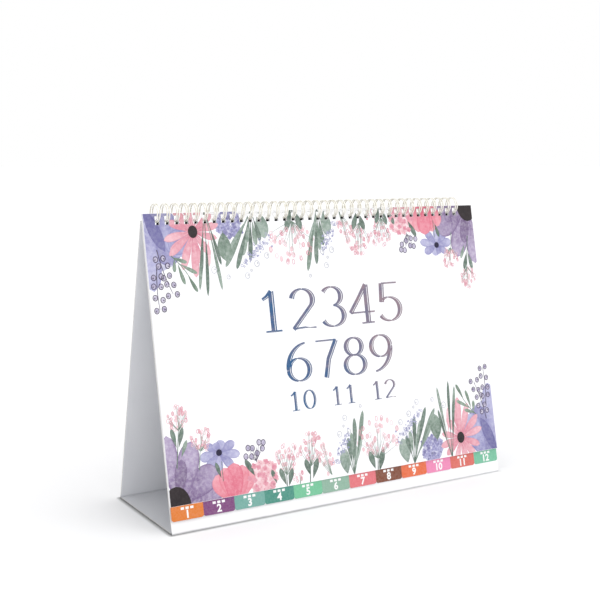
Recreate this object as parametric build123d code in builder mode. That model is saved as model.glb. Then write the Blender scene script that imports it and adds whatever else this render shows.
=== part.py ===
"""Flip desk calendar: a tent-shaped board stand with a cover leaf and twelve
tabbed month leaves, all bound to its apex by a twin-loop wire.

Millimetres. +X runs along the width, -Y is the front, +Z is up. The origin is
the centre of the stand's footprint, on the surface that it stands on.
"""
from build123d import *
from math import asin, atan, cos, radians, sin
import os

# ---- stand -----------------------------------------------------------------
WIDTH = 254.0               # stand and leaves, side to side
BASE_DEPTH = 80.0           # front crease to rear crease, outside
BOARD = 0.70                # greyboard core
WRAP = 0.12                 # white wrap paper on the outside
LINER = 0.08                # lining paper on the inside
APEX_GAP = 0.60             # room between the two panels for the wire's spine
CREASE_STRIP = 1.8          # board-free strip that lets the papers fold at a crease

# ---- binding axis ----------------------------------------------------------
AXIS_HEIGHT = 188.2         # the leaves turn about this line, parallel to X
AXIS_BACK = 0.4             # how far the axis lies behind the stand's mid-plane
APEX_DROP = 5.3             # top edge of the stand below the axis

# ---- leaves ----------------------------------------------------------------
MONTHS = ["jan", "feb", "mar", "apr", "may", "jun", "jul", "aug", "sep", "oct", "nov", "dec"]
LEAF = 0.10                 # thickness of one leaf
LEAF_GAP = 0.02             # air between neighbouring leaves
STACK_GAP = 0.03            # air between the last leaf and the stand
LEAF_TOP = 1.5              # top edge of a leaf, from the axis
LEAF_LENGTH = 174.5         # top edge to bottom edge, without the tab
TAB_LENGTH = 8.7            # tab below the bottom edge
TAB_CORNER = 1.6            # rounding of a tab's two lower corners

# ---- punched holes ---------------------------------------------------------
LOOPS = 37
PITCH = 6.35
ROW_SHIFT = -3.5            # the row of holes sits a little left of centre
HOLE_WIDTH = 2.9
LEAF_HOLE_NEAR = 3.1        # leaf hole: its edge nearer to the axis, from the axis
LEAF_HOLE_FAR = 8.5         # leaf hole: its edge further from the axis
PANEL_HOLE_NEAR = 0.50      # panel hole, below the stand's top edge
PANEL_HOLE_FAR = 3.0

# ---- binding wire ----------------------------------------------------------
WIRE = 0.90                 # diameter of the wire
TWIN = 1.65                 # the two strands of a loop, centre to centre
RING = 5.45                 # radius of a loop's centre line
RING_DROP = 1.05            # the loops' centre lies this far below the axis
BEND = 0.62                 # radius of the tight bends at the spine and the tips
SPINE_Y = -0.02             # the spine runs between the panels, at the mid-plane
TIP_Y = 1.07                # the loops' closed tips lie in the rear panel's holes

# ---- values that follow from the dimensions above --------------------------
PANEL = WRAP + BOARD + LINER
APEX_HEIGHT = AXIS_HEIGHT - APEX_DROP
FIRST_HOLE = ROW_SHIFT - PITCH * (LOOPS - 1) / 2
HOLE_CENTRES = [FIRST_HOLE + PITCH * i for i in range(LOOPS)]
TAB_WIDTH = WIDTH / len(MONTHS)


def lean_angle():
    """Angle of a panel from the vertical, so that both panels' thickness fits at the apex."""
    angle = radians(12)
    for _ in range(30):
        half_apex = APEX_GAP / 2 + PANEL / cos(angle)
        angle = atan((BASE_DEPTH / 2 - half_apex) / APEX_HEIGHT)
    return angle


LEAN = lean_angle()
APEX_HALF = APEX_GAP / 2 + PANEL / cos(LEAN)

# A plane on the outside of each panel: its origin is the panel's top edge, local y runs
# down the slope and local z points away from the stand. Local x is world -X at the front
# and world +X at the rear.
front_face = Plane(
    origin=(0, -APEX_HALF, APEX_HEIGHT), x_dir=(-1, 0, 0), z_dir=(0, -cos(LEAN), sin(LEAN))
)
rear_face = Plane(
    origin=(0, APEX_HALF, APEX_HEIGHT), x_dir=(1, 0, 0), z_dir=(0, cos(LEAN), sin(LEAN))
)
axis_on_front = front_face.to_local_coords(Vector(0, AXIS_BACK, AXIS_HEIGHT))


def save(part, label):
    """Name a finished piece and write it as one STEP file."""
    part.label = label
    export_step(part, f"parts/{label}.step")


os.makedirs("parts", exist_ok=True)


# ---- stand: three boards between an outer wrap and an inner liner -----------
def half_depth(height, inset):
    """Half of the tent's depth at a height, measured to a face set in from the outside."""
    return BASE_DEPTH / 2 - height * (BASE_DEPTH / 2 - APEX_HALF) / APEX_HEIGHT - inset / cos(LEAN)


def tent_corners(inset, top):
    """Corners of the tent's cross-section, set in by a distance and open at the top."""
    low = half_depth(inset, inset)
    high = half_depth(top, inset)
    return [(-low, inset), (low, inset), (high, top), (-high, top)]


def panel_holes(face):
    """The row of rectangular holes near the top edge of a panel, as a sketch on its outside."""
    side = face.x_dir.X
    with BuildSketch(face) as holes:
        middle = (PANEL_HOLE_NEAR + PANEL_HOLE_FAR) / 2
        with Locations(*[(side * x, middle) for x in HOLE_CENTRES]):
            Rectangle(HOLE_WIDTH, PANEL_HOLE_FAR - PANEL_HOLE_NEAR)
    return holes.sketch


front_holes = panel_holes(front_face)
rear_holes = panel_holes(rear_face)
PUNCH = PANEL + APEX_GAP / 3


def paper_tent(outer_inset, thickness):
    """A sheet of paper folded round the tent, punched through both of its top ends."""
    with BuildPart() as sheet:
        with BuildSketch(Plane.YZ):
            with BuildLine():
                Polyline(*tent_corners(outer_inset, APEX_HEIGHT), close=True)
            make_face()
            with BuildLine():
                Polyline(*tent_corners(outer_inset + thickness, APEX_HEIGHT + BOARD), close=True)
            make_face(mode=Mode.SUBTRACT)
        extrude(amount=WIDTH / 2, both=True)
        extrude(front_holes, amount=-PUNCH, mode=Mode.SUBTRACT)
        extrude(rear_holes, amount=-PUNCH, mode=Mode.SUBTRACT)
    return sheet.part


def slope_board(side, holes):
    """The board of the front panel (side -1) or of the rear panel (side +1)."""
    foot = WRAP + BOARD + CREASE_STRIP
    outline = [
        (side * half_depth(foot, WRAP), foot),
        (side * half_depth(foot, WRAP + BOARD), foot),
        (side * half_depth(APEX_HEIGHT, WRAP + BOARD), APEX_HEIGHT),
        (side * half_depth(APEX_HEIGHT, WRAP), APEX_HEIGHT),
    ]
    with BuildPart() as board:
        with BuildSketch(Plane.YZ):
            with BuildLine():
                Polyline(*outline, close=True)
            make_face()
        extrude(amount=WIDTH / 2, both=True)
        extrude(holes, amount=-PUNCH, mode=Mode.SUBTRACT)
    return board.part


save(slope_board(-1, front_holes), "front_board")
save(slope_board(1, rear_holes), "rear_board")

with BuildPart() as base_board:
    with BuildSketch(Plane.XY.offset(WRAP)):
        Rectangle(WIDTH, BASE_DEPTH - 2 * CREASE_STRIP)
    extrude(amount=BOARD)
save(base_board.part, "base_board")

save(paper_tent(0, WRAP), "stand_wrap")
save(paper_tent(WRAP + BOARD, LINER), "stand_liner")


# ---- leaves: a cover and twelve months, from the top of the stack down ------
def leaf(place, tab=None):
    """One leaf, `place` leaves in front of the last one, with an index tab if it is a month."""
    top = axis_on_front.Y + LEAF_TOP
    bottom = top + LEAF_LENGTH
    lift = STACK_GAP + place * (LEAF + LEAF_GAP)
    hole_middle = axis_on_front.Y + (LEAF_HOLE_NEAR + LEAF_HOLE_FAR) / 2
    with BuildPart() as sheet:
        with BuildSketch(front_face.offset(lift)) as outline:
            if tab is not None:
                tab_centre = WIDTH / 2 - TAB_WIDTH * (tab + 0.5)
                with Locations((tab_centre, bottom + (TAB_LENGTH - TAB_CORNER) / 2)):
                    Rectangle(TAB_WIDTH, TAB_LENGTH + TAB_CORNER)
                fillet(outline.vertices().group_by(Axis.Y)[-1], TAB_CORNER)
            with Locations((0, (top + bottom) / 2)):
                Rectangle(WIDTH, LEAF_LENGTH)
            with Locations(*[(-x, hole_middle) for x in HOLE_CENTRES]):
                Rectangle(HOLE_WIDTH, LEAF_HOLE_FAR - LEAF_HOLE_NEAR, mode=Mode.SUBTRACT)
        extrude(amount=LEAF)
    return sheet.part


save(leaf(len(MONTHS)), "cover_leaf")
for number, month in enumerate(MONTHS):
    save(leaf(len(MONTHS) - 1 - number, tab=number), f"leaf_{number + 1:02d}_{month}")


# ---- twin-loop wire: one length of wire bent into 37 double loops -----------
ring_centre = Vector(0, 0, AXIS_HEIGHT - RING_DROP)


def ring_point(x, y):
    """Point at the bottom of a loop, at a given y."""
    offset = y - ring_centre.Y
    return Vector(x, y, ring_centre.Z - (RING**2 - offset**2) ** 0.5)


def ring_tangent(y):
    """Direction of a loop at its bottom, at a given y, pointing to the rear."""
    angle = asin((y - ring_centre.Y) / RING)
    return Vector(0, cos(angle), sin(angle))


def bend(start, along, across):
    """A quarter turn that leaves `start` in one direction and ends in another."""
    middle = start + (along * sin(radians(45)) + across * (1 - cos(radians(45)))) * BEND
    end = start + (along + across) * BEND
    ThreePointArc(start, middle, end)
    return end


RIGHT = Vector(1, 0, 0)
spine_start = SPINE_Y - BEND
tip_end = TIP_Y + BEND
top_of_ring = ring_centre.Z + RING

with BuildPart() as binding_wire:
    with BuildLine() as route:
        for index, centre in enumerate(HOLE_CENTRES):
            left_x = centre - TWIN / 2
            right_x = centre + TWIN / 2
            tip_direction = ring_tangent(tip_end) * -1
            spine_direction = ring_tangent(spine_start)
            ThreePointArc(
                ring_point(left_x, spine_start),
                (left_x, ring_centre.Y, top_of_ring),
                ring_point(left_x, tip_end),
            )
            tip = bend(ring_point(left_x, tip_end), tip_direction, RIGHT)
            tip_right = tip + RIGHT * (TWIN - 2 * BEND)
            Line(tip, tip_right)
            bend(tip_right, RIGHT, tip_direction * -1)
            ThreePointArc(
                ring_point(right_x, tip_end),
                (right_x, ring_centre.Y, top_of_ring),
                ring_point(right_x, spine_start),
            )
            if index < LOOPS - 1:
                corner = bend(ring_point(right_x, spine_start), spine_direction, RIGHT)
                next_corner = corner + RIGHT * (PITCH - TWIN - 2 * BEND)
                Line(corner, next_corner)
                bend(next_corner, RIGHT, spine_direction * -1)
    with BuildSketch(Plane(origin=route.line @ 0, z_dir=route.line % 0)):
        Circle(WIRE / 2)
    sweep()
save(binding_wire.part, "binding_wire")
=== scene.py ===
"""Looks of the flip desk calendar: finishes of the board, paper and wire, the printed
cover, the numbered tabs and the month pages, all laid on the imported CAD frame."""
import math
import random

import bmesh
import bpy
from mathutils import Matrix, Vector


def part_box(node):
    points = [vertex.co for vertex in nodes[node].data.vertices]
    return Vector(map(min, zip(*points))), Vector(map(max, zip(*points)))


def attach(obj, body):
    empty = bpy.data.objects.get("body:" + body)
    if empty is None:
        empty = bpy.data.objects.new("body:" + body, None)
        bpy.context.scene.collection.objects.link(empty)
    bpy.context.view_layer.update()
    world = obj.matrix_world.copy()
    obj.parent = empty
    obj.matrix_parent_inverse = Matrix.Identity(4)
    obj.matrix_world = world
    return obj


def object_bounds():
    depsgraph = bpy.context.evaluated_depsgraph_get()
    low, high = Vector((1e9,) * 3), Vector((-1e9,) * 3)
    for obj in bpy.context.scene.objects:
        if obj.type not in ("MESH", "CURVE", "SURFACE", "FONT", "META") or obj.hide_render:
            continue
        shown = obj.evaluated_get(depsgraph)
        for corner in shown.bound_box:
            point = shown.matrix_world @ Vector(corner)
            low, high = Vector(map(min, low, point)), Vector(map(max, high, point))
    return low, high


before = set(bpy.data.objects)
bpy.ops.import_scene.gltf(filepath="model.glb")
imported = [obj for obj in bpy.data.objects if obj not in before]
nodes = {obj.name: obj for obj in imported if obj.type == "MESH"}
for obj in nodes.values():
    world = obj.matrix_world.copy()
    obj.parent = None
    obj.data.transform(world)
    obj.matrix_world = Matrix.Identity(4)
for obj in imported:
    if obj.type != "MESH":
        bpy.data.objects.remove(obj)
cad_low, cad_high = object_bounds()

# ---- sizes, in millimetres unless a name says otherwise ----------------------
MM = 0.001
LEAF = 0.10                     # thickness of a leaf
LEAF_LENGTH = 174.5             # top edge to bottom edge, without the tab
TAB_LENGTH = 8.7
PRINT_MARGIN = 0.15             # paper left clear of ink along an edge
HOLES = 37                      # punched along a leaf's top edge
HOLE_PITCH = 6.35
HOLE_WIDTH = 3.0                # the ink stays a little clear of a hole on each side
HOLE_TOP, HOLE_BOTTOM = 1.55, 7.05      # below the leaf's top edge
HOLE_ROW_SHIFT = -3.5           # middle of the row, from the middle of the leaf
FIRST_LIFT = 0.008              # height of the lowest ink above the paper
LAYER_LIFT = 0.005              # height from one layer of ink to the next
SHAPE_LIFT = 0.0004             # height between neighbouring shapes of one layer
SHAPE_STEPS = 11                # shapes in a row before the same height comes again
SMALLEST_PATCH = 1e-4           # square millimetres
WELD = 1e-7                     # metres
INK_DEPTH = 0.8                 # share of an ink's target brightness
TONES = (0.55, 1.0)             # range of the tone that each shape gets
EVEN_TONE = 0.775               # tone of every shape that isn't to stand out
RIM_SHARPNESS = 6.0             # how closely pooled ink keeps to a shape's rim
CREASE_SHADE_TOP = 0.0010            # metres above the floor, up to which the wrap gets painted crease shade

MONTHS = ["jan", "feb", "mar", "apr", "may", "jun", "jul", "aug", "sep", "oct", "nov", "dec"]
TAB_COLOURS = ["E27A17", "7B3A78", "70ABA0", "3F9180", "72C59A", "8FB5A0",
               "E5727A", "7E4023", "E96C3B", "F08AB8", "DD6A5E", "75C2A0"]
MONTH_DAYS = [31, 28, 31, 30, 31, 30, 31, 31, 30, 31, 30, 31]

cover_low, cover_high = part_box("cover_leaf")
WIDTH = (cover_high.x - cover_low.x) / MM
TAB_WIDTH = WIDTH / len(MONTHS)
STAND_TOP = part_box("front_board")[1].z
PAINTED_HOLE_SHADE_LOW = STAND_TOP - 0.0036     # metres; above this the panels' inside gets painted shade, dark as the shadow seen through the holes
HOLE_ROW_REACH = (HOLE_PITCH * (HOLES - 1) + HOLE_WIDTH) / 2 * MM


# ---- place on a leaf ---------------------------------------------------------
def measured_lean():
    """Lean of the front panel from the vertical, from the box of the cover."""
    deep, tall = cover_high.y - cover_low.y, cover_high.z - cover_low.z
    angle = math.atan2(deep, tall)
    for _ in range(8):
        inner_deep = deep - LEAF * MM * math.cos(angle)
        inner_tall = tall - LEAF * MM * math.sin(angle)
        angle = math.atan2(inner_deep, inner_tall)
    return angle


LEAN = measured_lean()
ACROSS = Vector((1, 0, 0))
DOWN = Vector((0, -math.sin(LEAN), -math.cos(LEAN)))
OUT = Vector((0, -math.cos(LEAN), math.sin(LEAN)))


def leaf_origin(node):
    """Middle of the top edge of a leaf's front face."""
    low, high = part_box(node)
    return Vector(((low.x + high.x) / 2, high.y - LEAF * MM * math.cos(LEAN), high.z))


# ---- materials ---------------------------------------------------------------
def linear(code):
    """Linear RGBA of a hexadecimal colour."""
    levels = [int(code[i:i + 2], 16) / 255 for i in (0, 2, 4)]
    return [v / 12.92 if v <= 0.04045 else ((v + 0.055) / 1.055) ** 2.4 for v in levels] + [1]


def printed(code):
    """Colour of an ink on paper, a little under its target: the light is bright."""
    return [level * INK_DEPTH for level in linear(code)[:3]] + [1]


class Finish:
    """A material under construction: its node tree, its shader and short ways to add nodes."""

    def __init__(self, name):
        self.material = bpy.data.materials.new(name)
        self.material.use_nodes = True
        self.tree = self.material.node_tree
        self.shader = self.tree.nodes["Principled BSDF"]
        self.place = self.tree.nodes.new("ShaderNodeTexCoord").outputs["Object"]

    def add(self, kind, inputs, **settings):
        node = self.tree.nodes.new(kind)
        for key, value in settings.items():
            setattr(node, key, value)
        for key, value in inputs.items():
            if isinstance(value, bpy.types.NodeSocket):
                self.tree.links.new(value, node.inputs[key])
            else:
                node.inputs[key].default_value = value
        return node

    def noise(self, scale, detail=3.0, rough=0.55):
        inputs = {"Vector": self.place, "Scale": scale, "Detail": detail, "Roughness": rough}
        return self.add("ShaderNodeTexNoise", inputs).outputs["Fac"]

    def spread(self, value, low, high, bottom=0.0, top=1.0):
        inputs = {0: value, 1: low, 2: high, 3: bottom, 4: top}
        return self.add("ShaderNodeMapRange", inputs).outputs[0]

    def maths(self, operation, first, second=0.0):
        return self.add("ShaderNodeMath", {0: first, 1: second}, operation=operation).outputs[0]

    def mix(self, factor, first, second):
        node = self.tree.nodes.new("ShaderNodeMix")
        node.data_type = "RGBA"
        for index, value in ((0, factor), (6, first), (7, second)):
            if isinstance(value, bpy.types.NodeSocket):
                self.tree.links.new(value, node.inputs[index])
            else:
                node.inputs[index].default_value = value
        return node.outputs[2]

    def colour(self, socket):
        self.tree.links.new(socket, self.shader.inputs["Base Color"])

    def surface(self, grain, depth, rough_low, rough_high):
        """Fine relief of the surface, and a roughness that varies with it."""
        fine = self.noise(grain, 4.0, 0.6)
        broad = self.noise(grain / 12, 2.0)
        bump = self.add("ShaderNodeBump", {"Height": fine, "Strength": 0.5, "Distance": depth})
        self.tree.links.new(bump.outputs["Normal"], self.shader.inputs["Normal"])
        halves = self.maths("MULTIPLY", fine, 0.5), self.maths("MULTIPLY", broad, 0.5)
        rough = self.spread(self.maths("ADD", *halves), 0.35, 0.65, rough_low, rough_high)
        self.tree.links.new(rough, self.shader.inputs["Roughness"])


def paper(name, code, shade, grain=1500.0, depth=0.00002, rough=(0.42, 0.58)):
    """Smooth coated paper: a slow drift in tone, faint fibres and a soft sheen. Gives the
    finish and its colour, which isn't joined to the shader yet."""
    finish = Finish(name)
    drift = finish.spread(finish.noise(14.0, 2.0), 0.35, 0.65)
    fibres = finish.spread(finish.noise(grain * 0.6, 5.0, 0.7), 0.62, 0.8, 0.0, 0.5)
    tone = finish.mix(drift, linear(code), linear(shade))
    finish.surface(grain, depth, *rough)
    finish.shader.inputs["Specular IOR Level"].default_value = 0.35
    return finish, finish.mix(fibres, tone, linear(shade))


def height_band(finish, low, high):
    """1 at and below one height, 0 at and above another, along the rest frame's Z."""
    height = finish.add("ShaderNodeSeparateXYZ", {"Vector": finish.place}).outputs["Z"]
    ragged = finish.spread(finish.noise(90.0), 0.3, 0.7, -0.0001, 0.0001)
    return finish.spread(finish.maths("ADD", height, ragged), low, high, 1.0, 0.0)


def painted_hole_shade(finish):
    """Mask of painted shade: 1 behind the row of punched holes, where the gap between the panels
    closes.
    """
    across = finish.add("ShaderNodeSeparateXYZ", {"Vector": finish.place}).outputs["X"]
    from_middle = finish.maths("SUBTRACT", across, HOLE_ROW_SHIFT * MM)
    within = finish.maths("LESS_THAN", finish.maths("ABSOLUTE", from_middle), HOLE_ROW_REACH)
    above = finish.maths("SUBTRACT", 1.0, height_band(finish, PAINTED_HOLE_SHADE_LOW - 0.0004, PAINTED_HOLE_SHADE_LOW))
    below = height_band(finish, STAND_TOP - 0.0006, STAND_TOP - 0.0003)
    return finish.maths("MULTIPLY", within, finish.maths("MULTIPLY", above, below))


def wrap_paper():
    """White wrap of the stand, with painted shade: grey along the two folds that it stands on."""
    finish, tone = paper("white_wrap", "EEEEEF", "E9E9EB", 1100.0, 0.00004, (0.4, 0.56))
    # painted shade: grey along the bottom folds, standing in for the contact shadow where the stand
    # meets the floor
    painted_crease_shade = height_band(finish, 0.0001, CREASE_SHADE_TOP)
    crease_shaded_wrap = finish.mix(finish.maths("MULTIPLY", painted_crease_shade, 0.75), tone, linear("8E8F93"))
    finish.colour(crease_shaded_wrap)
    return finish.material


def liner_paper():
    """Uncoated lining inside the stand, with painted shade: a little greyer on the base board, and
    dark at the top edge, where it closes the gap behind the punched holes."""
    finish, tone = paper("white_liner", "EBECEF", "E3E4E8", 900.0, 0.00006, (0.6, 0.78))
    # painted shade: the liner on the base board is a little greyer, as the inside of the stand gets
    # less light
    base = finish.mix(height_band(finish, 0.0012, 0.0022), tone, linear("CCCDD1"))
    # painted shade: the liner turns dark behind the punched holes, standing in for the shadow in
    # them
    finish.colour(finish.mix(painted_hole_shade(finish), base, linear("2A2A2C")))
    return finish.material


def greyboard():
    """Pressed grey board as its cut edge shows it: layered fibres with pale and dark specks, with
    painted shade along its bottom edge and behind the punched holes.
    """
    finish = Finish("greyboard")
    specks = finish.spread(finish.noise(2600.0, 4.0, 0.75), 0.45, 0.7)
    clouds = finish.spread(finish.noise(220.0, 3.0), 0.4, 0.62)
    base = finish.mix(clouds, linear("D5D3CF"), linear("C3C1BB"))
    flecked = finish.mix(specks, base, linear("E4E2DE"))
    # painted shade: the lowest part of the board's edges is darkened, standing in for the contact
    # shadow under the stand
    painted_contact_shade = finish.maths("MULTIPLY", height_band(finish, 0.0003, 0.0007), 0.8)
    contact_shaded_board = finish.mix(painted_contact_shade, flecked, linear("55565A"))
    # painted shade: the board turns dark behind the punched holes, standing in for the shadow in
    # them
    finish.colour(finish.mix(painted_hole_shade(finish), contact_shaded_board, linear("1E1E20")))
    finish.surface(2200.0, 0.00008, 0.75, 0.92)
    return finish.material


def coated_wire():
    """Nylon-coated binding wire: cream white, glossy, with faint drawing marks."""
    finish = Finish("coated_wire")
    tone = finish.spread(finish.noise(320.0, 2.0), 0.35, 0.65)
    finish.colour(finish.mix(tone, linear("EFEDE5"), linear("DDD9CC")))
    finish.surface(1900.0, 0.00001, 0.2, 0.36)
    finish.shader.inputs["Coat Weight"].default_value = 0.4
    finish.shader.inputs["Coat Roughness"].default_value = 0.12
    return finish.material


def month_paper(number):
    """Paper of a month's leaf, printed solid in the month's colour on its tab."""
    finish = Finish(f"leaf_paper_{number + 1:02d}")
    code = TAB_COLOURS[number]
    drift = finish.spread(finish.noise(14.0, 2.0), 0.35, 0.65)
    sheet = finish.mix(drift, linear("EEEEEF"), linear("E8E8EA"))
    mottle = finish.spread(finish.noise(900.0, 4.0, 0.65), 0.35, 0.7, 0.0, 0.07)
    solid = finish.mix(mottle, printed(code), linear("FFFFFF"))
    node = f"leaf_{number + 1:02d}_{MONTHS[number]}"
    from_top = finish.add("ShaderNodeVectorMath", {0: finish.place, 1: leaf_origin(node)},
                          operation="SUBTRACT").outputs[0]
    down = finish.add("ShaderNodeVectorMath", {0: from_top, 1: DOWN},
                      operation="DOT_PRODUCT").outputs["Value"]
    on_tab = finish.maths("GREATER_THAN", down, (LEAF_LENGTH + 0.02) * MM)
    finish.colour(finish.mix(on_tab, sheet, solid))
    finish.surface(1500.0, 0.00002, 0.42, 0.58)
    finish.shader.inputs["Specular IOR Level"].default_value = 0.35
    return finish.material


def ink(name, root, tip, mottle=0.55, edge=0.35):
    """Watercolour ink: it runs from one colour to another along a shape, pools at the rim
    and granulates. The mesh's wash layer says how far along its shape a point is (red),
    how near the rim (green) and how strong that shape's tone is (blue)."""
    finish = Finish(f"ink_{name}")
    wash = finish.add("ShaderNodeAttribute", {}, attribute_name="wash").outputs["Color"]
    parts = finish.add("ShaderNodeSeparateColor", {"Color": wash}).outputs
    bleed = finish.spread(finish.noise(130.0, 3.0, 0.6), 0.3, 0.7, -0.3, 0.3)
    own_shift = finish.spread(parts["Blue"], *TONES, -0.35, 0.35)
    along = finish.maths("ADD", finish.maths("ADD", parts["Red"], bleed), own_shift)
    tone = finish.mix(finish.spread(along, 0.0, 1.0), printed(root), printed(tip))
    pale = finish.mix(0.45, printed(tip), linear("FFFFFF"))
    pooled = finish.maths("MULTIPLY", finish.maths("POWER", parts["Green"], RIM_SHARPNESS), edge)
    grains = finish.spread(finish.noise(480.0, 5.0, 0.7), 0.42, 0.66, 0.0, mottle)
    washed = finish.mix(finish.maths("MULTIPLY", grains, parts["Blue"]), tone, pale)
    finish.colour(finish.mix(pooled, washed, printed(root)))
    finish.surface(1500.0, 0.00002, 0.45, 0.6)
    finish.shader.inputs["Specular IOR Level"].default_value = 0.3
    return finish.material


def assign(node, material):
    """Give every slot of a CAD node one material."""
    mesh = nodes[node].data
    mesh.materials.clear()
    mesh.materials.append(material)


assign("stand_wrap", wrap_paper())
assign("stand_liner", liner_paper())
board = greyboard()
for board_node in ("front_board", "base_board", "rear_board"):
    assign(board_node, board)
cover_finish, cover_tone = paper("cover_paper", "F0F0F2", "EBEBEE")
cover_finish.colour(cover_tone)
assign("cover_leaf", cover_finish.material)
for number, month in enumerate(MONTHS):
    assign(f"leaf_{number + 1:02d}_{month}", month_paper(number))
assign("binding_wire", coated_wire())


# ---- printing ----------------------------------------------------------------
def clip(corners, axis, limit, below):
    """The part of a convex patch on one side of a line across (axis 0) or down (axis 1)."""
    kept = []
    for index, here in enumerate(corners):
        before = corners[index - 1]
        inside = (here[axis] < limit) == below
        if inside != ((before[axis] < limit) == below):
            share = (limit - before[axis]) / (here[axis] - before[axis])
            kept.append(tuple(a + (b - a) * share for a, b in zip(before, here)))
        if inside:
            kept.append(here)
    return kept if len(kept) > 2 else []


def punched(corners):
    """The parts of a patch that are left when the leaf's holes are punched."""
    parts = [clip(corners, 1, HOLE_TOP, True), clip(corners, 1, HOLE_BOTTOM, False)]
    rest = clip(clip(corners, 1, HOLE_TOP, False), 1, HOLE_BOTTOM, True)
    for hole in range(HOLES):
        if not rest:
            break
        middle = HOLE_ROW_SHIFT + (hole - (HOLES - 1) / 2) * HOLE_PITCH
        parts.append(clip(rest, 0, middle - HOLE_WIDTH / 2, True))
        rest = clip(rest, 0, middle + HOLE_WIDTH / 2, False)
    return [part for part in parts + [rest] if part]


def area(corners):
    """Signed area of a patch."""
    pairs = zip(corners, corners[1:] + corners[:1])
    return sum(a[0] * b[1] - b[0] * a[1] for a, b in pairs) / 2


class Printing:
    """Ink on the front of one leaf, kept as patches per ink until it is made into meshes.
    A corner is (across, down, along, rim): millimetres from the middle of the leaf's top
    edge, then two of the shape's wash values. Layers are in order from the paper up."""

    def __init__(self, layers, bottom=LEAF_LENGTH):
        self.layers = layers
        self.bottom = bottom - PRINT_MARGIN
        self.patches = {name: [] for name in layers}
        self.shapes = 0
        self.turned = False

    def shape(self, name, patches, tone):
        """Print one shape in one ink, trimmed to the sheet and to its holes."""
        self.shapes += 1
        lift = FIRST_LIFT + self.layers.index(name) * LAYER_LIFT
        lift += self.shapes % SHAPE_STEPS * SHAPE_LIFT
        side = WIDTH / 2 - PRINT_MARGIN
        edges = ((0, side, True), (0, -side, False),
                 (1, self.bottom, True), (1, PRINT_MARGIN, False))
        for corners in patches:
            if self.turned:
                corners = [(-x, LEAF_LENGTH - y, along, rim) for x, y, along, rim in corners]
            for axis, limit, below in edges:
                corners = clip(corners, axis, limit, below)
            if not corners:
                continue
            near_holes = min(c[1] for c in corners) < HOLE_BOTTOM
            for part in punched(corners) if near_holes else [corners]:
                if abs(area(part)) > SMALLEST_PATCH:
                    self.patches[name].append((part, tone, lift))

    def make(self, prefix, node, body, materials):
        """One mesh per ink, laid on a node's front face and riding its body."""
        origin = leaf_origin(node)
        for name, patches in self.patches.items():
            if not patches:
                continue
            points, faces, washes = [], [], []
            for corners, tone, lift in patches:
                order = corners if area(corners) < 0 else corners[::-1]
                faces.append(range(len(points), len(points) + len(order)))
                for x, y, along, rim in order:
                    points.append(origin + (ACROSS * x + DOWN * y + OUT * lift) * MM)
                    washes += [along, rim, tone, 1.0]
            mesh = bpy.data.meshes.new(f"{prefix}_{name}")
            mesh.from_pydata(points, [], faces)
            layer = mesh.color_attributes.new("wash", "FLOAT_COLOR", "POINT")
            layer.data.foreach_set("color", washes)
            mesh.materials.append(materials[name])
            welded = bmesh.new()
            welded.from_mesh(mesh)
            bmesh.ops.remove_doubles(welded, verts=welded.verts, dist=WELD)
            welded.to_mesh(mesh)
            welded.free()
            piece = bpy.data.objects.new(f"{prefix}_{name}", mesh)
            bpy.context.scene.collection.objects.link(piece)
            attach(piece, body)


def strip(stations):
    """Patches of a band given by (left, middle, right, along) stations."""
    patches = []
    for (l0, m0, r0, a0), (l1, m1, r1, a1) in zip(stations, stations[1:]):
        patches.append([(*l0, a0, 1), (*l1, a1, 1), (*m1, a1, 0), (*m0, a0, 0)])
        patches.append([(*m0, a0, 0), (*m1, a1, 0), (*r1, a1, 1), (*r0, a0, 1)])
    return patches


def stroke(points, widths):
    """Patches of a pen stroke along a line of points."""
    stations = []
    last = len(points) - 1
    for index, (x, y) in enumerate(points):
        ahead, behind = points[min(index + 1, last)], points[max(index - 1, 0)]
        dx, dy = ahead[0] - behind[0], ahead[1] - behind[1]
        size = math.hypot(dx, dy) or 1.0
        nx, ny = -dy / size * widths[index] / 2, dx / size * widths[index] / 2
        stations.append(((x + nx, y + ny), (x, y), (x - nx, y - ny), index / last))
    return strip(stations)


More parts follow.
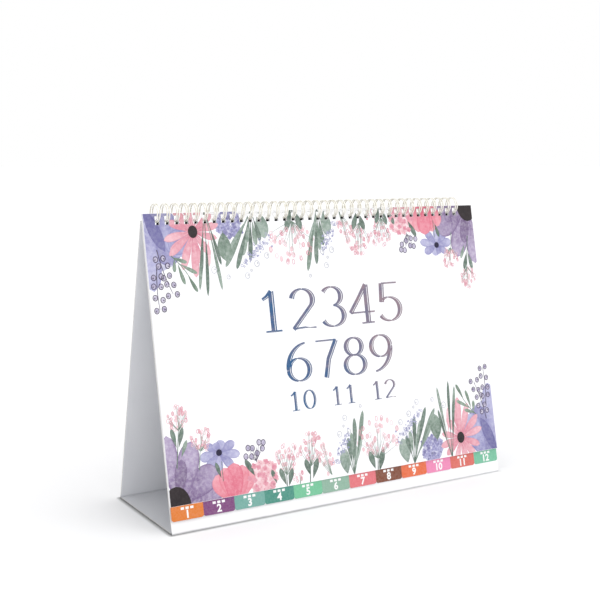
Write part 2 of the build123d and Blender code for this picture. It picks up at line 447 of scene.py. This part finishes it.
class Flowers:
    """Brush shapes of the flower border. Angles are from straight down, towards the right."""

    def __init__(self, printing, seed):
        self.sheet = printing
        self.dice = random.Random(seed)

    def tone(self):
        """Tone of the next shape."""
        return self.dice.uniform(*TONES)

    def blade(self, name, x, y, angle, length, width, curve=0.0, waist=1.3, steps=9, blunt=0.7):
        """A petal or a leaf that grows from (x, y). The larger its waist, the nearer its
        widest place is to the tip, and the smaller blunt is, the rounder are its ends."""
        turn = math.radians(angle)
        ux, uy = math.sin(turn), math.cos(turn)
        points, widths = [], []
        for step in range(steps + 1):
            t = step / steps
            aside = curve * length * t * t
            points.append((x + ux * length * t + uy * aside, y + uy * length * t - ux * aside))
            widths.append(width * max(math.sin(math.pi * t ** waist), 0.0) ** blunt + 0.02)
        self.sheet.shape(name, stroke(points, widths), self.tone())

    def stem(self, name, x0, y0, x1, y1, width=0.45, sag=0.0, steps=6):
        """A line that bows to one side and thins to half its width."""
        points, widths = [], []
        for step in range(steps + 1):
            t = step / steps
            aside = sag * 4 * t * (1 - t)
            points.append((x0 + (x1 - x0) * t - (y1 - y0) * aside,
                           y0 + (y1 - y0) * t + (x1 - x0) * aside))
            widths.append(width * (1 - 0.5 * t))
        self.sheet.shape(name, stroke(points, widths), EVEN_TONE)

    def oval(self, x, y, across, down, corners, sides):
        """Points on an oval. Its height is its width if none is given."""
        down = down or across
        turns = [math.tau * i / sides for i in range(corners)]
        return [(x + across * math.cos(a), y + down * math.sin(a)) for a in turns]

    def disc(self, name, x, y, across, down=None, sides=12):
        rim = [(*point, 1, 1) for point in self.oval(x, y, across, down, sides, sides)]
        hub = (x, y, 0, 0)
        self.sheet.shape(name, [[hub, rim[i - 1], rim[i]] for i in range(sides)], self.tone())

    def ring(self, name, x, y, across, down=None, width=0.4, sides=12):
        points = self.oval(x, y, across, down, sides + 1, sides)
        self.sheet.shape(name, stroke(points, [width] * (sides + 1)), self.tone())

    def to(self, name, x0, y0, x1, y1, width, curve=0.0, waist=1.6, steps=9, blunt=0.7):
        """A leaf or a petal from one point to another."""
        self.blade(name, x0, y0, math.degrees(math.atan2(x1 - x0, y1 - y0)),
                   math.hypot(x1 - x0, y1 - y0), width, curve, waist, steps, blunt)

    def petal(self, name, x0, y0, x1, y1, width, curve=0.0, waist=1.9):
        """A petal or a leaf with a round end."""
        self.to(name, x0, y0, x1, y1, width, curve, waist, 18, 0.5)

    def daisy(self, x, y, petals, length, width, inks, across, down,
              turn=0.0, below=1.0, above=1.0):
        """A flower of narrow petals round an oval heart, which measures across and down.
        Petals that point down or up are shortened to the shares below and above."""
        petal_ink, vein, heart = inks
        for index in range(petals):
            angle = turn + 360 * index / petals + self.dice.uniform(-4, 4)
            reach = length * self.dice.uniform(0.85, 1.08)
            hanging = math.cos(math.radians(angle))
            reach *= 1 - hanging * (1 - below) if hanging > 0 else 1 + hanging * (1 - above)
            self.blade(petal_ink, x, y, angle, reach, width * self.dice.uniform(0.85, 1.15),
                       self.dice.uniform(-0.08, 0.08), 1.8, 14, 0.55)
        for index in range(petals * 2):
            angle = turn + 180 * index / petals
            self.blade(vein, x, y, angle, length * below * self.dice.uniform(0.3, 0.5), 0.35, 0, 1)
        self.disc(heart, x, y, across, down, 16)

    def blossom_ball(self, x, y, radius, inks, count):
        """A round head of small four-petalled flowers on a pale ground."""
        ground, name, shade, heart = inks
        for _ in range(9):
            angle, reach = self.dice.uniform(0, math.tau), radius * 0.55
            self.disc(ground, x + reach * math.cos(angle), y + reach * math.sin(angle),
                      radius * 0.45, sides=14)
        for _ in range(count):
            angle, reach = self.dice.uniform(0, math.tau), radius * math.sqrt(self.dice.random())
            px, py = x + reach * math.cos(angle), y + reach * math.sin(angle)
            turn = self.dice.uniform(0, 90)
            hue = name if self.dice.random() < 0.6 else shade
            for quarter in range(4):
                length = self.dice.uniform(1.6, 2.2)
                self.blade(hue, px, py, turn + 90 * quarter, length, 1.7, 0, 1.3, 5)
            self.disc(heart, px, py, 0.28, sides=6)

    def sprays(self, x, y, x0, y0, x1, y1, count, size=1.35):
        """Thin stems from (x, y) that end in small pink buds inside an oval."""
        for index in range(count):
            angle, reach = self.dice.uniform(0, math.tau), math.sqrt(self.dice.random())
            px = (x0 + x1) / 2 + (x1 - x0) / 2 * reach * math.cos(angle)
            py = (y0 + y1) / 2 + (y1 - y0) / 2 * reach * math.sin(angle)
            if index % 3 == 0:
                self.stem("sage", x, y, px, py, 0.34, self.dice.uniform(-0.05, 0.05))
            if index % 5 < 2:
                self.disc("petal", px, py, size * 0.6, size * 0.85)
            hue = "rose" if index % 3 == 1 else "blush"
            self.ring(hue, px, py, size * self.dice.uniform(0.4, 0.7),
                      size * self.dice.uniform(0.7, 1.1), 0.34, 10)

    def freckles(self, name, x0, y0, x1, y1, wide, count, size=0.75):
        """A drift of small dots along a line."""
        for _ in range(count):
            t = self.dice.random()
            px = x0 + (x1 - x0) * t + self.dice.gauss(0, wide / 2)
            py = y0 + (y1 - y0) * t + self.dice.gauss(0, wide / 2)
            if self.dice.random() < 0.5:
                self.disc(name, px, py, size * self.dice.uniform(0.5, 1.1), sides=7)
            else:
                self.ring(name, px, py, size * self.dice.uniform(0.7, 1.3), width=0.3, sides=8)

    def bubble(self, x, y, radius):
        """A pale ring with a small spot in it."""
        self.ring("mist", x, y, radius, radius * 1.15, 0.45)
        self.disc("mist", x + radius * 0.3, y - radius * 0.2, radius * 0.35, sides=7)

    def branch(self, x, y, tips, width, names):
        """Long leaves that leave one point, each on a thin stalk."""
        for index, (px, py) in enumerate(tips):
            name = names[index % len(names)]
            bx, by = x + (px - x) * 0.28, y + (py - y) * 0.28
            self.stem(name, x, y, bx + (px - bx) * 0.2, by + (py - by) * 0.2, 0.7)
            self.petal(name, bx, by, px, py, width, self.dice.uniform(-0.06, 0.06))

    def bud_stem(self, x0, y0, x1, y1, count):
        """A stem with pairs of round ringed buds."""
        self.stem("plum", x0, y0, x1, y1, 0.6, 0.03)
        for index in range(count):
            t = 0.2 + 0.8 * index / (count - 1)
            for side in (-1, 1):
                px = x0 + (x1 - x0) * t + side * self.dice.uniform(1.8, 3.2)
                py = y0 + (y1 - y0) * t + self.dice.uniform(-1, 1)
                self.ring("plum", px, py, 1.5, 1.75, 0.5)
                self.disc("mauve", px, py, 1.1, 1.3, 9)
                self.disc("plum", px + 0.4 * side, py + 0.3, 0.5, sides=6)


def flower_border(flowers):
    """The hanging border of the upper edge, from left to right, in millimetres across from
    the middle and down from the top of the leaf."""
    f = flowers
    # corner petals
    f.petal("lilac", -116, -8, -103, 27, 17)
    f.petal("lilac", -129, -8, -124, 47, 15)
    f.petal("lavender", -127, -12, -110, 32, 20, 0.02)
    f.to("lavender_deep", -127, -6, -116, 24, 8, 0.05, 1.3)
    f.disc("haze", -114, 26, 8, 7, 16)
    f.disc("haze", -118, 29, 6, 6, 14)
    f.disc("lilac", -106, 18, 6.5, 8, 14)
    # ringed bud stems and an olive sprig
    f.bud_stem(-120, 22, -112, 49, 5)
    f.bud_stem(-121, 33, -121.5, 58, 4)
    f.stem("olive", -111, 26, -96, 48, 0.6, -0.06)
    for x, y, px, py in ((-110, 27, -101, 31), (-109, 28, -110, 36), (-106, 31, -95, 38),
                         (-107, 31, -104, 44), (-101, 38, -96, 49)):
        f.petal("olive", x, y, px, py, 2.4, 0.05)
    # pink daisy
    f.daisy(-95.1, 11.9, 12, 19, 4.6, ("pink", "vein", "bark"), 3.2, 3.9, 8)
    f.petal("pink", -95, 12, -95.5, 40, 5.0)
    f.petal("pink", -95, 12, -104, 35, 4.8)
    f.petal("pink", -95, 12, -112, 26, 4.6)
    # long blade leaves
    f.branch(-86, -1, [(-92.5, 38), (-94, 48), (-88, 52), (-77.5, 48.5), (-77, 33)],
             2.3, ["green", "sage"])
    f.to("blush", -85, 16, -86, 34, 2.4)
    f.to("sage", -74.7, 13, -74, 31, 9.5, 0.0, 1.1)
    f.stem("green", -74.7, 12, -74, 30, 0.4)
    f.blossom_ball(-69.5, 8.0, 9.5, ("haze", "lilac", "lavender", "lavender_deep"), 60)
    # first grey-green branch
    f.branch(-53.5, 0, [(-74.5, 35), (-67, 36.5), (-70, 24), (-62, 28), (-57, 31), (-59, 20),
                        (-52, 22), (-48, 19)], 3.2, ["sage", "green", "mint"])
    f.to("mint", -48, 1, -45, 18, 9.0, 0.0, 1.2)
    f.freckles("periwinkle", -61, 33, -43, 17, 4.0, 60)
    for x, y, r in ((-52.6, 33.5, 1.7), (-60.1, 40.7, 1.6), (-73.5, 40.8, 1.2),
                    (-45, 28.7, 1.6), (-83, 36, 1.8), (-57, 37.5, 0.7)):
        f.bubble(x, y, r)
    # spray of pink buds
    f.to("green", -24, -1, -29, 13, 4.4, 0.0, 1.4)
    f.to("green", -21, 1, -17.5, 13, 4.4, 0.0, 1.4)
    f.stem("green", -23, 0, -24, 9, 0.8)
    f.sprays(-24, 7.4, -43, 8, -9, 34, 52, 1.75)
    # second grey-green branch
    f.branch(-4.2, 0, [(-16.5, 40), (-9.5, 36), (-13.4, 25), (-5, 27), (-1, 24), (-8, 18), (2, 17)],
             3.2, ["sage", "green", "mint"])
    f.to("mint", 1, 1, 3, 17, 7.5, 0.0, 1.2)
    f.freckles("periwinkle", -2, 26, 9, 9, 3.4, 45)
    for x, y, r in ((-3.1, 28.1, 1.4), (4.3, 27.1, 1.7), (0.6, 31.9, 0.7),
                    (-0.9, 37.1, 1.6), (-14, 43.3, 0.9)):
        f.bubble(x, y, r)
    f.sprays(13, 2, 10, 3, 22, 24, 22, 1.4)
    # two umbels
    f.to("green", 27.5, 2, 22.5, 14.5, 3.8, 0.0, 1.5)
    f.to("green", 29, 4, 32, 15, 3.8, 0.0, 1.5)
    f.stem("green", 30, -1, 28.3, 12, 0.8)
    f.sprays(28.3, 10, 18, 13, 36, 32, 50)
    f.to("green", 45.5, 0, 42, 11, 3.6, 0.0, 1.5)
    f.to("green", 47.5, 1, 51, 12, 3.6, 0.0, 1.5)
    f.stem("green", 47, -1, 46.5, 9, 0.8)
    f.sprays(46.5, 7, 36, 9, 54, 27, 44)
    f.sprays(38, -2, 33, 0, 42, 10, 12, 1.2)
    # pink hydrangea, berries, coral flower
    f.blossom_ball(63, 8.0, 10.5, ("petal", "blush", "rose", "vein"), 70)
    f.to("green", 69, 10, 75, 21, 3.6, 0.0, 1.4)
    f.to("green", 54, 3, 57, 12, 3.0)
    f.stem("plum", 67, 18, 66, 27, 0.4)
    for x, y in ((62, 26), (66, 23.5), (70, 22), (64, 30), (69, 27), (74, 22.5), (72, 27.5),
                 (61, 29.5)):
        f.stem("plum", 67, 19, x, y, 0.28)
        f.disc("mauve", x, y, 1.5, 1.8, 9)
        f.ring("plum", x, y, 1.5, 1.8, 0.5)
    for x, y, px, py, width in ((81, -5, 72, 15, 11), (84, -5, 96, 14, 12),
                                (82, -6, 77, 18, 11), (84, -6, 90, 18, 11)):
        f.petal("coral", x, y, px, py, width)
    f.petal("coral_deep", 83, -7, 83, 20, 12)
    f.petal("coral_deep", 85, -7, 88.5, 17, 7)
    # lilac cosmos and the big corner flower
    f.to("green", 92, 12, 95, 22, 2.6)
    f.stem("green", 91, 10, 91, 22, 0.5)
    f.daisy(92, 27.5, 9, 16, 5.6, ("lilac", "lavender_deep", "night"), 2.0, 2.0, 18, 0.42, 0.75)
    f.petal("violet", 121, -2, 86, 8, 11)
    f.petal("violet", 122, 0, 94.5, 19, 16)
    f.petal("violet", 121, -2, 108, 36, 14.5, 0.05)
    f.petal("violet", 123, 0, 125.5, 42, 11)
    f.petal("violet_deep", 121.5, 0, 117, 27, 8)
    f.disc("bark", 122.5, -1, 9.2, 12.5, 20)
    # pink umbels that hang from the corner flower
    f.stem("sage", 106, 19, 104, 33, 0.6)
    f.sprays(104, 30, 94.5, 30, 110, 44, 34, 1.25)
    f.stem("green", 120.5, 22, 117, 46, 0.7)
    f.to("green", 118, 34, 114.5, 46, 3.0)
    f.to("green", 119.5, 34, 122, 46, 3.0)
    f.to("sage", 117, 28, 112.5, 38, 2.6)
    f.sprays(117, 44, 111, 44, 124, 59, 34, 1.35)


# ---- numerals ----------------------------------------------------------------
def arc(cx, cy, rx, ry, start, end, steps=24):
    """Points of an oval arc, in degrees, on a figure one unit high."""
    turns = [math.radians(start + (end - start) * i / steps) for i in range(steps + 1)]
    return [(cx + rx * math.cos(a), cy + ry * math.sin(a)) for a in turns]


def lines_of_figures():
    """Pen lines of each numeral one unit high, y up."""
    six = [arc(0.3, 0.3, 0.25, 0.3, 180, 540), arc(0.56, 0.34, 0.51, 0.66, 180, 98)]
    two_bowl = arc(0.29, 0.73, 0.24, 0.27, 170, -38)
    return {
        "0": [arc(0.3, 0.5, 0.26, 0.5, 90, 450)],
        "1": [[(0.1, 0.8), (0.2, 0.87), (0.3, 1.0)], [(0.3, 1.0), (0.3, 0.5), (0.3, 0.0)],
              [(0.12, 0), (0.48, 0)]],
        "2": [two_bowl + [(0.04, 0.0)], [(0.04, 0.01), (0.3, 0.03), (0.56, 0.01)]],
        "3": [arc(0.28, 0.76, 0.22, 0.24, 150, -80), arc(0.28, 0.26, 0.26, 0.27, 85, -155)],
        "4": [[(0.42, 1.0), (0.22, 0.64), (0.0, 0.28)], [(0.0, 0.28), (0.6, 0.28)],
              [(0.42, 1.0), (0.42, 0.5), (0.42, 0.0)], [(0.26, 0.0), (0.57, 0.0)]],
        "5": [[(0.5, 1.0), (0.12, 1.0)], [(0.12, 1.0), (0.09, 0.5)],
              arc(0.27, 0.31, 0.27, 0.31, 135, -150)],
        "6": six,
        "7": [[(0.05, 1.0), (0.56, 1.0)], [(0.56, 1.0), (0.34, 0.5), (0.24, 0.0)]],
        "8": [arc(0.3, 0.76, 0.2, 0.24, 90, 450), arc(0.3, 0.26, 0.25, 0.27, 90, 450)],
        "9": [[(0.6 - x, 1 - y) for x, y in line] for line in six],
    }


FIGURE_LINES = lines_of_figures()
FIGURE_STRETCH = 1.28           # how much wider than in FIGURE_LINES a figure is drawn
# in units of a figure's height
FIGURE_ADVANCE = 0.9            # from the start of one figure to the start of the next
FIGURE_GAP = 0.13               # what that leaves free behind the last figure
THICK, THIN = 0.155, 0.042      # upright and level strokes of the pen
# in other units
CLEAR_LINE = (-0.3, -0.58)      # edges of the clear line, in halves of a stroke's width
STAMP_ALONG = 0.3               # how far along its ink's run of colour a stamp is


def pen_rows(line, shares):
    """Rows of points beside a pen line, one row for each share of half the pen's width."""
    last = len(line) - 1
    rows = [[] for _ in shares]
    for index, (x, y) in enumerate(line):
        ahead, behind = line[min(index + 1, last)], line[max(index - 1, 0)]
        dx, dy = ahead[0] - behind[0], ahead[1] - behind[1]
        size = math.hypot(dx, dy)
        half = (THIN + (THICK - THIN) * abs(dy / size) ** 1.5) / 2
        nx, ny = -dy / size, dx / size
        if nx > 0:
            nx, ny = -nx, -ny
        for row, share in zip(rows, shares):
            row.append((x + nx * share * half, y + ny * share * half))
    return rows


def figures(printing, name, text, middle, top, height, wash, inline=True):
    """A line of numerals drawn with a broad pen, with a clear line inside the thick strokes
    if inline is true. The wash gives each point its colour."""
    pitch = FIGURE_ADVANCE * height
    start = middle - (len(text) * pitch - FIGURE_GAP * height) / 2
    shares = (1.0, *CLEAR_LINE, -1.0) if inline else (1.0, -1.0)
    for place, digit in enumerate(text):
        left_edge = start + place * pitch
        for line in FIGURE_LINES.get(digit, ()):
            rows = pen_rows([(x * FIGURE_STRETCH, y) for x, y in line], shares)
            for left, right in zip(rows[::2], rows[1::2]):
                patches = []
                for i in range(len(line) - 1):
                    corners = [(left_edge + x * height, top + (1 - y) * height)
                               for x, y in (left[i], left[i + 1], right[i + 1], right[i])]
                    patches.append([(x, y, wash(x, y), 0.0) for x, y in corners])
                printing.shape(name, patches, EVEN_TONE)


def text_outline(text, size, bold=0.0):
    """Filled outline of plain sans numerals, centred: points and faces, y up, millimetres."""
    curve = bpy.data.curves.new("numerals", "FONT")
    curve.body, curve.size, curve.offset = text, size, bold
    curve.align_x, curve.align_y = "CENTER", "CENTER"
    curve.resolution_u = 3
    holder = bpy.data.objects.new("numerals", curve)
    bpy.context.scene.collection.objects.link(holder)
    bpy.context.view_layer.update()
    depsgraph = bpy.context.evaluated_depsgraph_get()
    mesh = bpy.data.meshes.new_from_object(holder.evaluated_get(depsgraph))
    points = [(v.co.x, v.co.y) for v in mesh.vertices]
    faces = [list(p.vertices) for p in mesh.polygons]
    bpy.data.objects.remove(holder)
    bpy.data.curves.remove(curve)
    bpy.data.meshes.remove(mesh)
    return points, faces


def stamp(printing, name, outline, across, down):
    """Print an outline round a point of the leaf."""
    points, faces = outline
    corners = [(across + x, down - y, STAMP_ALONG, 0.0) for x, y in points]
    printing.shape(name, [[corners[i] for i in face] for face in faces], EVEN_TONE)


def bar(printing, name, x0, y0, x1, y1, pieces=1):
    """A filled rectangle, cut into lengths so that its wash can vary."""
    patches = []
    for i in range(pieces):
        a, b = x0 + (x1 - x0) * i / pieces, x0 + (x1 - x0) * (i + 1) / pieces
        patches.append([(a, y0, i / pieces, 0), (b, y0, (i + 1) / pieces, 0),
                        (b, y1, (i + 1) / pieces, 0), (a, y1, i / pieces, 0)])
    printing.shape(name, patches, EVEN_TONE)


# ---- cover -------------------------------------------------------------------
# from the paper up: colour at a shape's root and at its tip, granulation, pooling at the rim
COVER_LAYERS = {
    "haze": ("D2D2E8", "C0C0DC", 0.5, 0.2),
    "petal": ("F6CFD6", "F9DDE2", 0.5, 0.3),
    "lavender": ("7572A2", "9D9AC6", 0.3, 0.9),
    "lilac": ("8C89BC", "B9B8DC", 0.45, 0.9),
    "lavender_deep": ("6C69A0", "807DB0", 0.3, 0.4),
    "violet": ("7B638F", "B5A5C6", 0.5, 0.9),
    "violet_deep": ("6F5880", "8A769C", 0.4, 0.4),
    "mint": ("7C9185", "A9BAAF", 0.5, 0.4),
    "blush": ("EFB4BF", "F5C9D0", 0.5, 0.4),
    "pink": ("DF8DA0", "F1B8C3", 0.45, 0.8),
    "coral": ("E67F92", "F5B0BC", 0.4, 0.8),
    "coral_deep": ("DF6A83", "EE90A2", 0.4, 0.8),
    "sage": ("687F70", "94A79A", 0.5, 0.5),
    "olive": ("657B6A", "879D8B", 0.4, 0.5),
    "green": ("52665A", "72887B", 0.4, 0.5),
    "periwinkle": ("9496BE", "B4B5D4", 0.3, 0.3),
    "mist": ("C3C5CE", "D6D8DE", 0.3, 0.3),
    "vein": ("CF7289", "DD8FA2", 0.3, 0.3),
    "rose": ("E08BA0", "EBA5B4", 0.4, 0.4),
    "mauve": ("A79DBE", "CFC9DE", 0.5, 0.4),
    "plum": ("4A4159", "665B76", 0.25, 0.4),
    "night": ("1C1736", "262143", 0.03, 0.3),
    "bark": ("20171B", "2B2024", 0.03, 0.3),
    "title": ("1A5A8C", "94808C", 0.1, 0.0),
}
BORDER_SEED = 12
TITLE = (("12345", 1, 51.5, 25.5), ("6789", 3, 86, 24), ("10 11 12", 2.5, 116.5, 11.8))


def title_wash(x, y):
    """Blue at the lower left of the title, mauve at its upper right."""
    return max(0.0, min(1.0, 0.5 + (x - 2) / 105 - (y - 88) / 190))


cover_inks = {name: ink(name, *look) for name, look in COVER_LAYERS.items()}
cover = Printing(list(COVER_LAYERS))
for turned in (False, True):
    cover.turned = turned
    flower_border(Flowers(cover, BORDER_SEED))
cover.turned = False
for text, middle, top, height in TITLE:
    figures(cover, "title", text, middle, top, height, title_wash)
cover.make("cover_print", "cover_leaf", "cover", cover_inks)

# ---- month leaves ------------------------------------------------------------
PAGE_SIDE = 116.0               # from the middle of the leaf to the end of the grid
HEADER_TOP, HEADER_BOTTOM, HEADER_PIECES = 38.0, 41.5, 24
MONTH_TOP, MONTH_HEIGHT = 12, 21        # the large numeral of a page
ONE_FIGURE, TWO_FIGURES = -100, -92     # middle of that numeral
GRID_TOP, GRID_BOTTOM = 44.0, 168.0
GRID_ROWS, WEEK = 6, 7
CELL_WIDTH = 2 * PAGE_SIDE / WEEK
CELL_HEIGHT = (GRID_BOTTOM - GRID_TOP) / GRID_ROWS
HAIRLINE = 0.35
DATE_SIZE, DATE_BOLD = 8.5, 0.06
DATE_ACROSS, DATE_DOWN = 0.2, 0.28      # shares of a cell
TAB_FIGURE, TAB_BOLD, TAB_FIGURE_DOWN = 6.4, 0.22, 5.6
DASH, DASH_PITCH = 2.1, 3.1     # three blocks stand for a month's name on its tab
DASH_TOP, DASH_BOTTOM = 1.0, 2.5        # from the top of the tab
LONGEST_MONTH = max(MONTH_DAYS)
tab_white = ink("tab_white", "FFFFFF", "FAFAFA", 0.1, 0.0)
page_grey = ink("page_grey", "4B4E55", "62666E", 0.2, 0.0)
dates = [text_outline(str(day + 1), DATE_SIZE, DATE_BOLD) for day in range(LONGEST_MONTH)]
first_day = 0
for number, month in enumerate(MONTHS):
    node, body = f"leaf_{number + 1:02d}_{month}", f"month_{month}"
    tint = ink(f"tint_{number + 1:02d}", TAB_COLOURS[number], TAB_COLOURS[number], 0.3, 0.0)
    page = Printing(["tint", "grey"])
    numeral = str(number + 1)
    bar(page, "tint", -PAGE_SIDE, HEADER_TOP, PAGE_SIDE, HEADER_BOTTOM, HEADER_PIECES)
    figures(page, "tint", numeral, ONE_FIGURE if len(numeral) == 1 else TWO_FIGURES,
            MONTH_TOP, MONTH_HEIGHT, lambda x, y: 0.0, inline=False)
    for column in range(WEEK + 1):
        x = -PAGE_SIDE + CELL_WIDTH * column
        bar(page, "grey", x - HAIRLINE / 2, GRID_TOP, x + HAIRLINE / 2, GRID_BOTTOM)
    for row in range(GRID_ROWS + 1):
        y = GRID_TOP + CELL_HEIGHT * row
        bar(page, "grey", -PAGE_SIDE, y - HAIRLINE / 2, PAGE_SIDE, y + HAIRLINE / 2)
    for day in range(MONTH_DAYS[number]):
        row, column = divmod(first_day + day, WEEK)
        stamp(page, "tint" if column == WEEK - 1 else "grey", dates[day],
              -PAGE_SIDE + CELL_WIDTH * (column + DATE_ACROSS),
              GRID_TOP + CELL_HEIGHT * (row + DATE_DOWN))
    first_day = (first_day + MONTH_DAYS[number]) % WEEK
    page.make(f"page_{number + 1:02d}", node, body,
              {"tint": tint, "grey": page_grey})

    tab = Printing(["tab"], LEAF_LENGTH + TAB_LENGTH)
    tab_middle = TAB_WIDTH * (number + 0.5) - WIDTH / 2
    for dash in (-1, 0, 1):
        middle = tab_middle + dash * DASH_PITCH
        bar(tab, "tab", middle - DASH / 2, LEAF_LENGTH + DASH_TOP,
            middle + DASH / 2, LEAF_LENGTH + DASH_BOTTOM)
    stamp(tab, "tab", text_outline(numeral, TAB_FIGURE, TAB_BOLD),
          tab_middle, LEAF_LENGTH + TAB_FIGURE_DOWN)
    tab.make(f"numeral_{number + 1:02d}", node, body, {"tab": tab_white})


# ---- floor, light and camera -------------------------------------------------
CONTACT_REACH = 0.0030          # metres; width of the painted contact shadow beside the stand
FLOOR_REACH = 12.0              # metres
CAMERA_PLACE = Vector((-0.38112, -0.59453, 0.22496))
CAMERA_TURN = (-31.616, 7.937, 0.394)   # azimuth, elevation and roll, degrees
CAMERA_LENS = 64.276


def stage_floor():
    """A pale seamless floor, with a painted contact shadow: a thin dark line where the stand meets
    it, stronger to the left.
    """
    finish = Finish("floor")
    drift = finish.spread(finish.noise(3.0, 3.0), 0.3, 0.7)
    pale = finish.mix(drift, linear("F2F2F3"), linear("EFEFF0"))
    place = finish.add("ShaderNodeSeparateXYZ", {"Vector": finish.place}).outputs
    gaps = []
    for axis, half in (("X", cad_high.x), ("Y", cad_high.y)):
        outside = finish.maths("SUBTRACT", finish.maths("ABSOLUTE", place[axis]), half)
        gaps.append(finish.maths("POWER", finish.maths("MAXIMUM", outside, 0.0), 2.0))
    gap = finish.maths("SQRT", finish.maths("ADD", *gaps))
    # painted contact shadow: darkest at the stand's footprint, fading outwards and towards the
    # right
    close = finish.spread(gap, 0.0, CONTACT_REACH, 1.0, 0.0)
    side = finish.spread(place["X"], cad_low.x, cad_high.x, 0.85, 0.2)
    finish.colour(finish.mix(finish.maths("MULTIPLY", close, side), pale, linear("202022")))
    finish.surface(300.0, 0.00002, 0.8, 0.9)
    mesh = bpy.data.meshes.new("floor")
    signs = ((-1, -1), (1, -1), (1, 1), (-1, 1))
    mesh.from_pydata([(x * FLOOR_REACH, y * FLOOR_REACH, 0) for x, y in signs],
                     [], [(0, 1, 2, 3)])
    mesh.materials.append(finish.material)
    floor = bpy.data.objects.new("floor", mesh)
    bpy.context.scene.collection.objects.link(floor)


def soft_sun(name, towards, power, spread):
    """A broad lamp far away in one direction, so that the whole floor gets the same light."""
    lamp = bpy.data.lights.new(name, "SUN")
    lamp.energy, lamp.angle = power, math.radians(spread)
    holder = bpy.data.objects.new(name, lamp)
    holder.rotation_mode = "QUATERNION"
    holder.rotation_quaternion = Vector(towards).to_track_quat("Z", "Y")
    bpy.context.scene.collection.objects.link(holder)


def add_camera(place, turn, lens):
    """Camera at a place, turned by azimuth about +Z from +Y, looking down by elevation."""
    azimuth, elevation, roll = (math.radians(angle) for angle in turn)
    ahead = Vector((-math.sin(azimuth) * math.cos(elevation),
                    math.cos(azimuth) * math.cos(elevation), -math.sin(elevation)))
    right = ahead.cross(Vector((0, 0, 1))).normalized()
    up = right.cross(ahead)
    rolled_right = right * math.cos(roll) + up * math.sin(roll)
    rolled_up = up * math.cos(roll) - right * math.sin(roll)
    data = bpy.data.cameras.new("camera")
    data.lens = lens
    data.clip_start, data.clip_end = 0.01, 100
    camera = bpy.data.objects.new("camera", data)
    axes = Matrix((rolled_right, rolled_up, -ahead)).transposed().to_4x4()
    camera.matrix_world = Matrix.Translation(place) @ axes
    bpy.context.scene.collection.objects.link(camera)
    bpy.context.scene.camera = camera


stage_floor()
world = bpy.data.worlds.new("studio")
world.use_nodes = True
sky = world.node_tree.nodes["Background"]
sky.inputs["Color"].default_value = (1, 1, 1, 1)
sky.inputs["Strength"].default_value = 1.0
bpy.context.scene.world = world
soft_sun("key", (0.25, -0.7, 0.8), 1.1, 70)
bpy.context.scene.view_settings.view_transform = "Standard"
add_camera(CAMERA_PLACE, CAMERA_TURN, CAMERA_LENS)
